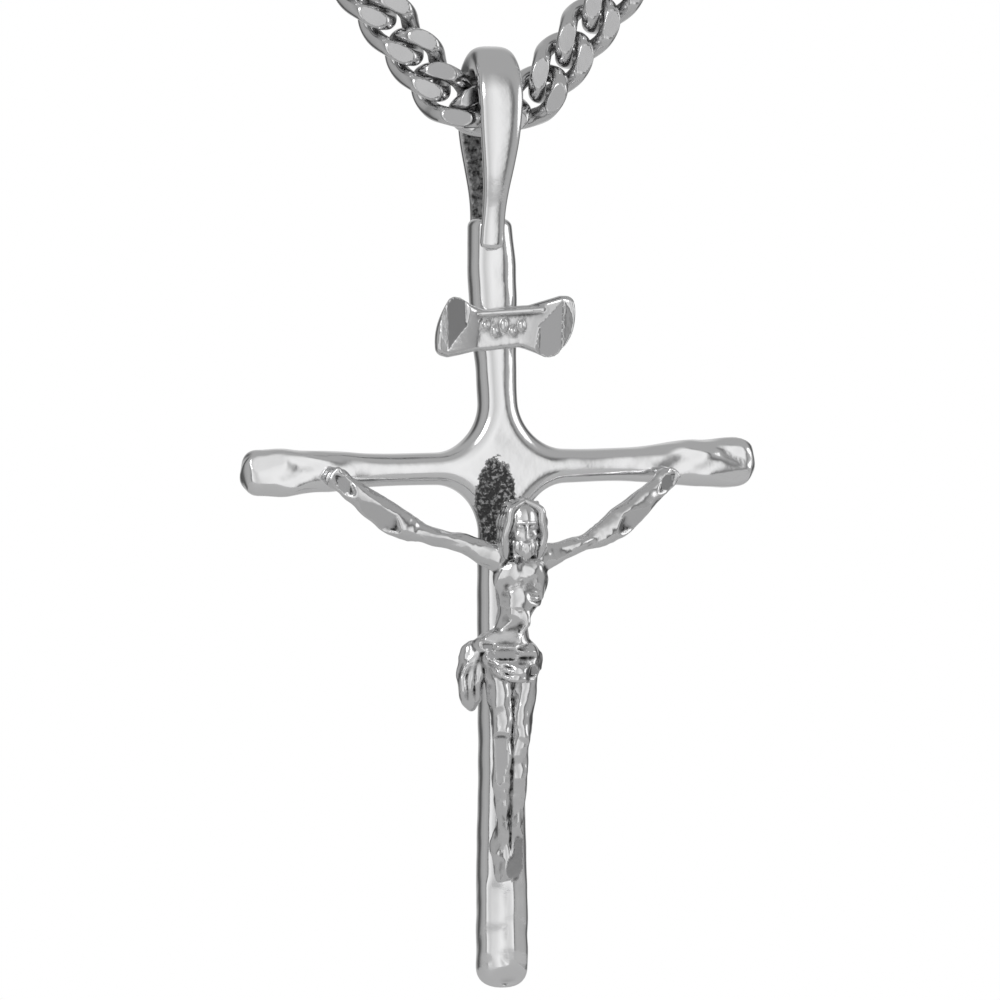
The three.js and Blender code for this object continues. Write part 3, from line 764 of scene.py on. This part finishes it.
# painted shade on the inner face of the strap, inside the arch
inner_painted_shade = np.clip(-np.broadcast_to(s, points.shape[:2]) * 3 - 1, 0, 1)
bail_points, bail_faces = shut_ends(points + CROSSING, grid_faces(*points.shape[:2], closed=False))
bail = make_piece("bail_silver_strap", bail_points, bail_faces, shade_and_dark_skin=np.append(inner_painted_shade, [0, 0]))
finish_piece(bail, "pendant", "bail_strap", bail_silver)

# %% [markdown]
# ## The title band
#
# A small scroll sits over the stem. Its edges wave, both ends roll forwards, and each roll
# has been cut flat on the slant. The writing of the real one is left as plain raised beads.
# It is a bent box with soft corners: three distances, to its faces, its edges and its
# ends, combined into one.

# %% The title band as a field
SCROLL_MIDDLE, SCROLL_X, SCROLL_HALF = 9.8, -0.5, 4.95
SLANT = 0.24
SCROLL_STEP, SCROLL_BACK = 0.07, -1.45


def band(x, y, z):
    """Rounded box whose middle surface rolls forwards at both ends and whose edges wave."""
    x, up = x - SCROLL_X, z - SCROLL_MIDDLE
    slanted = x - SLANT * up
    roll = np.clip((abs(slanted) - 1.5) / 3.2, 0, 1) ** 1.5
    face = abs(y - (SCROLL_BACK - 0.42 - roll)) - 0.42 - 0.12 * roll
    rise = 0.16 * np.sin(0.8 * x + 0.2) + 0.012 * x**2 - 0.1
    height = abs(up - rise) - 1.46 - 0.72 * np.clip((abs(slanted) - 1.6) / 2.0, 0, 1) ** 1.1
    end = abs(slanted) - SCROLL_HALF + 0.12 * up**2
    soft = 0.41
    parts = [np.maximum(p + soft, 0) for p in (face, height + 0 * y, end + 0 * y)]
    deepest = np.maximum(np.maximum(face, height), end)
    return np.sqrt(sum(p**2 for p in parts)) + np.minimum(deepest + soft, 0) - soft


clay = Clay((-6.2, -4.2, 6.6), (5.8, -1.1, 13.2), SCROLL_STEP)
whole_block = (-9, -9, 0), (9, 9, 20)
clay.merge(*whole_block, band, 0.05)
for k, bead_x in enumerate((-1.75, -1.1, -0.45, 0.2, 0.85)):
    bead = (bead_x, -2.3, SCROLL_MIDDLE - 0.05 + 0.2 * (-1) ** k)
    clay.merge(*whole_block, ball(bead, (0.26, 0.2, 0.3 + 0.08 * (k % 3))), 0.1)
clay.merge(*whole_block, cone((-2.3, -2.25, 10.75), (2.4, -2.4, 11.05), 0.15, 0.24), 0.12)
# the two slanted cuts are painted a reflection grey, 0.75 and 0.85 of the way
clay.cut_flat((-3.95, -2.68, 9.8), (0.16, -1, 0.1), (0.75, 1.6, 2.4), 0.75)
clay.cut_flat((2.95, -2.6, 9.85), (-0.14, -1, -0.12), (0.8, 1.6, 2.4), 0.85)
clay.field[...] = np.maximum(clay.field, clay.axes[1][None, :, None] - SCROLL_BACK)
cast(clay, "title_scroll_silver", "pendant", "title_scroll", figure_silver, groove=0.05)

# %% [markdown]
# ## The figure
#
# The figure is modelled like a small wax: round cones for limbs, balls for muscles, thin
# ridges for cloth and hair, then a few flat cuts. The face is a plain, calm one built on
# the proportions taught in any drawing class: eyes half way down the head, the nose ending
# half way from there to the chin, the mouth a third of the way on.

# %% The figure: helpers
def swirl(x, y, z, seed, slow, fast):
    """Uneven waves between about -1 and 1: six sines, each with its own direction in space."""
    rng = np.random.default_rng(seed)
    turns = rng.normal(size=(6, 3))
    turns *= (rng.uniform(slow, fast, 6) / np.linalg.norm(turns, axis=1))[:, None]
    starts = rng.uniform(0, 6.3, 6)
    return sum(np.sin(a * x + b * y + c * z + p) for (a, b, c), p in zip(turns, starts)) / 3


FIGURE_STEP, FIGURE_BACK = 0.085, -1.45
figure = Clay((-14.2, -6.0, -30.2), (13.6, -1.2, 1.2), FIGURE_STEP)


def add_limb(points, radii, squash=1.0, blend=0.3, pieces=16):
    """Chain of cones along a spline; the chain joins the rest with a fillet."""
    share = np.linspace(0, 1, pieces + 1)
    path, size = through(points, share), through(radii, share)
    pad = size.max() + blend + 0.3
    low, high = path.min(0) - pad, path.max(0) + pad
    part, place = figure.window(low, high)
    own = np.full(figure.field[part].shape, FAR, np.float32)
    for a, b, ra, rb in zip(path[:-1], path[1:], size[:-1], size[1:]):
        own = np.minimum(own, cone(a, b, ra, rb, squash)(*place))
    figure.field[part] = smooth_least(figure.field[part], own, blend)


def add_ball(middle, radii, blend=0.25):
    """Presses a ball of clay on; only the grid near it is touched."""
    middle, pad = np.array(middle, float), np.array(radii) * 1.5 + blend + 0.2
    figure.merge(middle - pad, middle + pad, ball(middle, radii), blend)


def hollow_ball(middle, radii, blend=0.12):
    """Presses a ball in and takes it out again, which leaves its hollow."""
    middle, pad = np.array(middle, float), np.array(radii) * 1.5 + blend + 0.2
    figure.carve(middle - pad, middle + pad, ball(middle, radii), blend)


# %% [markdown]
# A chest ball, a waist limb and a collar make the torso. Each side gets a chest muscle,
# four ribs as thin arched ridges and three small stomach muscles.

# %% Torso
add_ball((0.62, -3.15, -7.7), (1.95, 1.0, 2.2), 0.3)
add_limb([(-1.5, -3.2, -6.3), (0.4, -3.1, -6.0), (2.2, -3.2, -6.3)], [0.6, 0.55, 0.6])
add_limb([(0.45, -3.1, -9.2), (0.05, -3.0, -10.8), (-0.2, -3.0, -12.4)], [1.25, 1.1, 1.4], 1.1)
for side in (-1, 1):
    add_ball((0.55 + 0.74 * side, -3.85, -7.2), (0.85, 0.4, 0.7), 0.3)
    for rib in range(4):
        z = -8.3 - 0.42 * rib
        add_limb([(0.5 + 0.35 * side, -4.0, z + 0.25), (0.5 + 0.95 * side, -3.85, z),
                  (0.5 + 1.4 * side, -3.3, z + 0.2)], [0.1, 0.12, 0.1], blend=0.1, pieces=6)
    for row in range(3):
        add_ball((0.42 - 0.12 * row + 0.33 * side, -3.92, -9.6 - 0.62 * row), (0.36, 0.2, 0.3), 0.2)
hollow_ball((0.3, -4.1, -10.9), (0.1, 0.14, 0.12))
add_limb([(0.35, -3.7, -5.0), (0.4, -3.2, -6.3)], [0.6, 0.7], pieces=4)
print("torso:", figure.volume(), "cubic mm")

# %% [markdown]
# Each arm is one limb from palm to shoulder, flattened as if pressed with a thumb. A hand
# is a ball, four short fingers that fan out, and a thumb.

# %% Arms and hands
LEFT_ARM = [(-12.3, -2.2, -0.75), (-11.7, -2.25, -1.25), (-8.6, -2.55, -3.5), (-6.2, -2.8, -4.6),
            (-3.9, -3.05, -5.15), (-1.3, -3.2, -6.2)]
RIGHT_ARM = [(11.6, -2.2, -0.8), (11.0, -2.25, -1.35), (7.9, -2.55, -3.9), (5.7, -2.8, -5.1),
             (4.1, -3.05, -5.6), (1.9, -3.2, -6.3)]
for points, radii in ((LEFT_ARM, [0.55, 0.72, 1.08, 0.66, 0.66, 0.95]),
                      (RIGHT_ARM, [0.55, 0.72, 1.05, 0.64, 0.64, 0.95])):
    add_limb(points, radii, 1.25, 0.2, 24)
    hand, wrist = np.array(points[0]), np.array(points[1])
    out = (hand - wrist) / np.linalg.norm(hand - wrist)
    side = np.array([-out[2], 0, out[0]])
    add_ball(hand + [0, 0.15, 0], (0.85, 0.7, 0.75), 0.25)
    for k in range(4):
        tip = hand + out * (0.72 - 0.07 * abs(k - 1.3)) + side * (k - 1.5) * 0.26 + [0, -0.35, 0]
        add_limb([hand + side * (k - 1.5) * 0.2, (hand + tip) / 2 + [0, -0.1, 0], tip],
                 [0.2, 0.21, 0.18], blend=0.14, pieces=4)
    add_limb([hand - side * 0.2, hand - side * 0.55 + out * 0.2], [0.22, 0.17], blend=0.1, pieces=2)

print("with arms:", figure.volume(), "cubic mm")

# %% [markdown]
# Muscles are long ridges that catch the light, two on each forearm and upper arm.

# %% Arm muscles
# From where to where along the arm, how far forwards and down, and how thick.
MUSCLES = ((0.16, 0.52, 0.36, 0.2, 0.34), (0.24, 0.6, 0.3, -0.3, 0.3),
           (0.55, 0.85, 0.42, 0.08, 0.3), (0.62, 0.92, 0.25, -0.28, 0.26))
for points in (LEFT_ARM, RIGHT_ARM):
    for start, end, front, drop, size in MUSCLES:
        ridge = through(points, np.linspace(start, end, 6)) + [0, -front, drop]
        add_limb(ridge, [0.1, size * 0.8, size, size * 0.8, 0.1], blend=0.24, pieces=24)

# %% [markdown]
# The legs run from hip to ankle, with a sharp shin in front. The feet overlap, and a web
# of metal behind the ankles carries them on the stem.

# %% Legs and feet
LEFT_LEG = [(-1.1, -2.85, -13.6), (-0.85, -3.3, -18.3), (-0.75, -2.95, -21.8),
            (-0.45, -2.45, -25.2), (-0.1, -2.15, -28.2)]
RIGHT_LEG = [(1.0, -2.85, -13.6), (0.5, -3.35, -18.3), (0.35, -3.0, -21.8),
             (0.4, -2.6, -25.2), (0.45, -2.3, -28.0)]
add_limb(LEFT_LEG, [1.05, 0.72, 0.74, 0.42, 0.46], 1.0, 0.12, 22)
add_limb(RIGHT_LEG, [1.0, 0.7, 0.7, 0.42, 0.48], 1.0, 0.12, 22)
for knee in ((-0.75, -3.75, -18.6), (0.5, -3.8, -18.6)):
    add_ball(knee, (0.4, 0.35, 0.5), 0.15)
for points in (LEFT_LEG, RIGHT_LEG):
    shin = np.array(points[1:4]) + [0, -0.5, 0]
    add_limb(shin, [0.16, 0.2, 0.12], blend=0.15, pieces=8)
add_ball((-0.42, -1.7, -26.6), (0.72, 0.5, 2.4), 0.5)
for foot, toe_x in (((-0.1, -2.2, -28.0), -0.15), ((0.45, -2.5, -27.6), 0.5)):
    add_ball(foot, (0.5, 0.55, 0.85), 0.15)
    for k in range(5):
        start = np.array([toe_x + (k - 2) * 0.17, foot[1] - 0.1, -28.5])
        end = start + [0.02 * (k - 2), 0.1, -0.45 + 0.05 * k]
        add_limb([start, end], [0.13, 0.1], blend=0.04, pieces=2)
print("with legs:", figure.volume(), "cubic mm")

# %% [markdown]
# The loincloth is a broad belt of cloth, with folds that run down from a knot at one hip
# and an end that hangs beside the thigh.

# %% Loincloth
add_ball((-0.15, -2.85, -13.2), (2.25, 1.45, 1.5), 0.12)
add_ball((-0.9, -3.0, -12.2), (1.6, 1.3, 0.95), 0.12)
for k in range(5):
    drop = 0.5 * k
    add_limb([(-2.2, -3.05, -12.1 - drop * 0.5), (-0.9, -4.15, -12.5 - drop),
              (0.7, -4.25, -12.95 - drop * 0.85), (1.9, -3.2, -13.0 - drop * 0.5)],
             [0.16, 0.24, 0.24, 0.14], blend=0.12, pieces=12)
add_ball((-2.2, -2.95, -12.3), (0.55, 0.6, 0.6), 0.1)
add_ball((-2.85, -2.4, -14.5), (1.0, 0.6, 2.3), 0.15)
for k in range(3):
    x0 = -2.4 - 0.5 * k
    add_limb([(-2.35, -2.95, -12.6), (x0 - 0.1, -2.95 + 0.06 * k, -14.2), (x0 - 0.12, -2.85, -15.6),
              (x0 + 0.12, -2.35, -16.6 + 0.3 * abs(k - 1))], [0.2, 0.26, 0.24, 0.12],
             blend=0.16, pieces=12)
print("with the cloth:", figure.volume(), "cubic mm")

# %% [markdown]
# Uneven waves, weaker on the arms, keep the wax from looking turned. Then small facets are
# cut, each given by a point, the way it faces, its reach and how dark its painted reflection is.

# %% Flat cuts on the body, then its skin
hand_worked = np.clip((-3.5 - figure.axes[2]) / 4, 0.6, 1)[None, None]
everywhere = np.ix_(*[a.astype(np.float32) for a in figure.axes])
figure.field += hand_worked * (0.08 * swirl(*everywhere, 5, 2.8, 6.5)
                               + 0.014 * swirl(*everywhere, 8, 8, 12))
for point, normal, reach, painted_reflection_tone in (
        ((-1.1, -3.75, -11.7), (-0.15, -1, 0.35), (1.3, 1.2, 0.5), 0.15),
        ((-2.0, -3.6, -12.5), (-0.5, -1, 0.1), (0.35, 1.2, 0.3), 1.0),
        ((-1.0, -4.0, -12.95), (-0.25, -1, -0.12), (1.1, 1.2, 0.35), 0.7),
        ((0.9, -4.05, -13.4), (0.2, -1, 0.3), (0.9, 1.2, 0.2), 0.0),
        ((1.5, -3.8, -14.1), (0.4, -1, -0.25), (0.5, 1.2, 0.35), 0.7),
        ((-10.0, -2.95, -3.1), (-0.3, -1, -0.38), (1.5, 1, 1.1), 0.2),
        ((9.6, -2.95, -3.2), (0.25, -1, -0.4), (1.5, 1, 1.1), 0.2),
        ((-12.1, -2.6, -1.1), (-0.25, -1, -0.1), (0.5, 1, 0.6), 0.7),
        ((11.5, -2.6, -1.1), (0.2, -1, -0.1), (0.5, 1, 0.6), 0.7),
        ((-0.95, -3.66, -20.4), (-0.45, -1, -0.04), (0.9, 1, 1.7), 0.7),
        ((0.25, -2.6, -27.4), (0.15, -1, -0.08), (1.0, 1, 1.6), 0.7)):
    figure.cut_flat(point, normal, reach, painted_reflection_tone)
figure.field[...] = np.maximum(figure.field, figure.axes[1][None, :, None] - FIGURE_BACK)
cast(figure, "figure_silver_casting", "pendant", "corpus", figure_silver, groove=0.028)

# %% [markdown]
# The head is barely five millimetres tall, so it gets clay of its own with a grid twice as
# fine. It is a separate closed piece whose neck runs down into the shoulders.

# %% Head: skull, face and beard
HEAD_STEP = 0.045
figure = Clay((-1.9, -6.0, -7.6), (2.7, -1.9, -1.5), HEAD_STEP)
add_limb([(0.38, -3.6, -4.9), (0.4, -3.15, -6.6)], [0.6, 0.6], pieces=4)
HEAD = np.array([0.4, -4.1, -3.75])
EYES, NOSE_END, MOUTH, CHIN = -4.02, -4.95, -5.27, -5.9
add_ball(HEAD, (1.15, 1.1, 1.6), 0.15)
add_ball((0.42, -4.35, -5.05), (0.82, 0.8, 0.95), 0.25)
for side in (-1, 1):
    hollow_ball((0.4 + 0.4 * side, -5.27, EYES), (0.27, 0.22, 0.19), 0.12)
    add_ball((0.4 + 0.4 * side, -5.02, EYES - 0.02), (0.21, 0.13, 0.12), 0.04)
    add_limb([(0.4 + 0.14 * side, -5.22, EYES + 0.26), (0.4 + 0.68 * side, -4.98, EYES + 0.24)],
             [0.08, 0.07], blend=0.1, pieces=3)
    add_ball((0.4 + 0.52 * side, -4.85, -4.62), (0.3, 0.22, 0.26), 0.2)
add_limb([(0.4, -5.14, EYES + 0.1), (0.4, -5.34, -4.5), (0.4, -5.42, NOSE_END + 0.12)],
         [0.1, 0.12, 0.17], blend=0.08, pieces=6)
for half, rise, lip in ((0.24, 0.07, 0.07), (0.2, -0.1, 0.08)):
    add_limb([(0.4 - half, -5.16, MOUTH + rise), (0.4 + half, -5.16, MOUTH + rise)],
             [lip, lip], blend=0.05, pieces=2)
for k in range(9):
    out = k - 4
    root = np.array([0.4 + out * 0.2, -5.12 + 0.035 * out**2, -5.35 + 0.06 * abs(out)])
    sway = 0.06 * (-1) ** k
    add_limb([root, root + [-0.02 * out + sway, 0.02, -0.35],
              root + [-0.05 * out - sway, 0.12, -0.7],
              root + [-0.08 * out, 0.3, -1.05 + 0.07 * abs(out)]],
             [0.15, 0.21, 0.18, 0.08], blend=0.1, pieces=9)
print("face and beard:", figure.volume(), "cubic mm")

# %% [markdown]
# The hair falls in wavy locks from a middle parting, close enough together for painted
# shade and the dark skin to gather between them.

# %% Hair
add_ball((0.4, -3.8, -3.6), (1.4, 1.15, 1.55), 0.15)
for k in range(7):
    lift = 0.3 * (k - 3)
    add_limb([(0.4 + lift * 0.9, -4.55, -2.5 - 0.1 * abs(k - 3)),
              (0.4 + lift * 1.25, -3.7, -2.1 - 0.12 * abs(k - 3)),
              (0.4 + lift * 1.3, -2.8, -2.9 - 0.1 * abs(k - 3))],
             [0.14, 0.2, 0.14], blend=0.05, pieces=9)
for side in (-1, 1):
    for k in range(6):
        back = 0.3 * k
        curl = 0.12 * np.array([0, 1, -1, 1, -1, 0]) * (-1) ** k
        reach = np.array([0.06, 0.95, 1.32, 1.3, 1.42, 1.2 + 0.1 * k]) + curl
        y = np.array([-4.65 + 0.9 * back, -4.85 + back, -4.72 + back, -4.55 + back,
                      -4.3 + 0.9 * back, -4.0 + 0.7 * back])
        z = np.array([-2.25, -2.85, -3.7, -4.6, -5.5, -6.2 - 0.05 * k])
        add_limb(np.stack([0.42 + side * reach, y, z], 1), [0.14, 0.25, 0.28, 0.27, 0.26, 0.14],
                 blend=0.08, pieces=20)
cast(figure, "figure_silver_head", "pendant", "corpus", figure_silver, groove=0.03)

# %% [markdown]
# ## Studio
#
# Jewellery is lit by what surrounds it. A broad white panel stands round the camera, pale
# grey ones at the sides, and narrow black strips stand between, because polished metal
# only looks like metal when something dark is mirrored along its edges. The backdrop seen
# directly is plain white.

# %% World of soft panels
CAMERA_SIDE = math.radians(-17)
# Each panel is where it stands, as a share of the way from before to behind, and its grey.
scene = bpy.context.scene
scene.view_settings.view_transform = "Standard"
world = bpy.data.worlds.new("studio")
scene.world = world
world.use_nodes = True
tree = world.node_tree
tree.nodes.clear()
direction = node_of(tree, "ShaderNodeSeparateXYZ")
tree.links.new(node_of(tree, "ShaderNodeTexCoord").outputs["Generated"], direction.inputs[0])
forwards = both(tree, "MULTIPLY", direction.outputs["Y"], -1.0)
away = both(tree, "ARCTAN2", direction.outputs["X"], forwards)
half_turn = node_of(tree, "ShaderNodeMath", operation="WRAP")
half_turn.inputs[1].default_value, half_turn.inputs[2].default_value = math.pi, -math.pi
tree.links.new(both(tree, "SUBTRACT", away, CAMERA_SIDE), half_turn.inputs[0])
away = both(tree, "ABSOLUTE", half_turn.outputs["Value"], 0.0)
panels = node_of(tree, "ShaderNodeValToRGB")
tree.links.new(both(tree, "DIVIDE", away, math.pi), panels.inputs["Fac"])
PANELS = [(0.0, 0.82), (0.1, 0.92), (0.185, 1.0), (0.21, 0.88), (0.235, 0.34), (0.255, 0.5),
          (0.28, 0.66), (0.42, 0.7), (0.6, 0.64), (0.69, 0.36), (0.78, 0.32), (0.84, 0.66), (1.0, 0.84)]
ramp = panels.color_ramp
while len(ramp.elements) < len(PANELS):
    ramp.elements.new(0.5)
for stop, (where, grey) in zip(ramp.elements, PANELS):
    stop.position = where
    stop.color = (grey**2.2, grey**2.2, grey**2.2, 1)
ceiling = spread(tree, direction.outputs["Z"], 0.45, 0.8)
room = blended(tree, ceiling, panels.outputs["Color"], (0.42, 0.42, 0.42, 1))
reflected = set_inputs(node_of(tree, "ShaderNodeBackground"), Strength=1.0)
tree.links.new(room, reflected.inputs["Color"])
backdrop = set_inputs(node_of(tree, "ShaderNodeBackground"), Color=(1, 1, 1, 1), Strength=1.0)
seen = node_of(tree, "ShaderNodeMixShader")
tree.links.new(node_of(tree, "ShaderNodeLightPath").outputs["Is Camera Ray"], seen.inputs[0])
tree.links.new(reflected.outputs[0], seen.inputs[1])
tree.links.new(backdrop.outputs[0], seen.inputs[2])
tree.links.new(seen.outputs[0], node_of(tree, "ShaderNodeOutputWorld").inputs["Surface"])

print("the room has", len(PANELS), "stops from before the camera to behind")

# %% [markdown]
# The pendant hangs above a round sheet of pale paper, under two large soft lamps. The
# camera stands far off with a long lens, which keeps the rods straight.

# %% Floor and soft lights
FLOOR_DROP, FLOOR_RADIUS = 14, 104


def soft_light(name, place, aim, size, power):
    """Round lamp of a size in mm and a power in watts, which looks from its place at the aim."""
    lamp = bpy.data.lights.new(name, "AREA")
    lamp.shape, lamp.size, lamp.energy = "DISK", size * MM, power
    piece = bpy.data.objects.new(name, lamp)
    scene.collection.objects.link(piece)
    piece.location = [v * MM for v in place]
    towards = Vector([b - a for a, b in zip(place, aim)])
    piece.rotation_euler = towards.to_track_quat("-Z", "Y").to_euler()


middle = CROSSING + [0, 0, -2.3]
floor_z = cross_low[2] - FLOOR_DROP
around = np.linspace(0, 2 * np.pi, 128, endpoint=False)
rim = np.stack([FLOOR_RADIUS * np.cos(around), FLOOR_RADIUS * np.sin(around),
                0 * around + floor_z], 1)
floor_mesh = bpy.data.meshes.new("pale_floor")
floor_mesh.from_pydata((rim * MM).tolist(), [], [list(range(128))])
floor = bpy.data.objects.new("pale_floor", floor_mesh)
scene.collection.objects.link(floor)
paper = bpy.data.materials.new("pale_paper")
paper.use_nodes = True
set_inputs(paper.node_tree.nodes["Principled BSDF"], Base_Color=(0.9, 0.9, 0.9, 1), Roughness=0.8)
floor_mesh.materials.append(paper)
soft_light("key_light", middle + [-180, -220, 160], middle, 120, 0.12)
soft_light("fill_light", middle + [220, -120, 60], middle, 160, 0.06)
print("floor at", round(float(floor_z), 1), "mm")

# %% Camera
CAMERA_DISTANCE, CAMERA_RISE, FRAME_WIDTH = 430, math.radians(1.5), 70.2
lens = bpy.data.cameras.new("camera")
lens.sensor_width = 36
lens.lens = 36 * CAMERA_DISTANCE / FRAME_WIDTH
lens.clip_start, lens.clip_end = 0.01, 5
camera = bpy.data.objects.new("camera", lens)
scene.collection.objects.link(camera)
level = math.cos(CAMERA_RISE)
back = np.array([math.sin(CAMERA_SIDE) * level, -math.cos(CAMERA_SIDE) * level, math.sin(CAMERA_RISE)])
camera.location = (middle + back * CAMERA_DISTANCE) * MM
camera.rotation_euler = Vector(-back).to_track_quat("-Z", "Y").to_euler()
scene.camera = camera
print("a", round(lens.lens), "mm lens shows", FRAME_WIDTH, "mm across")
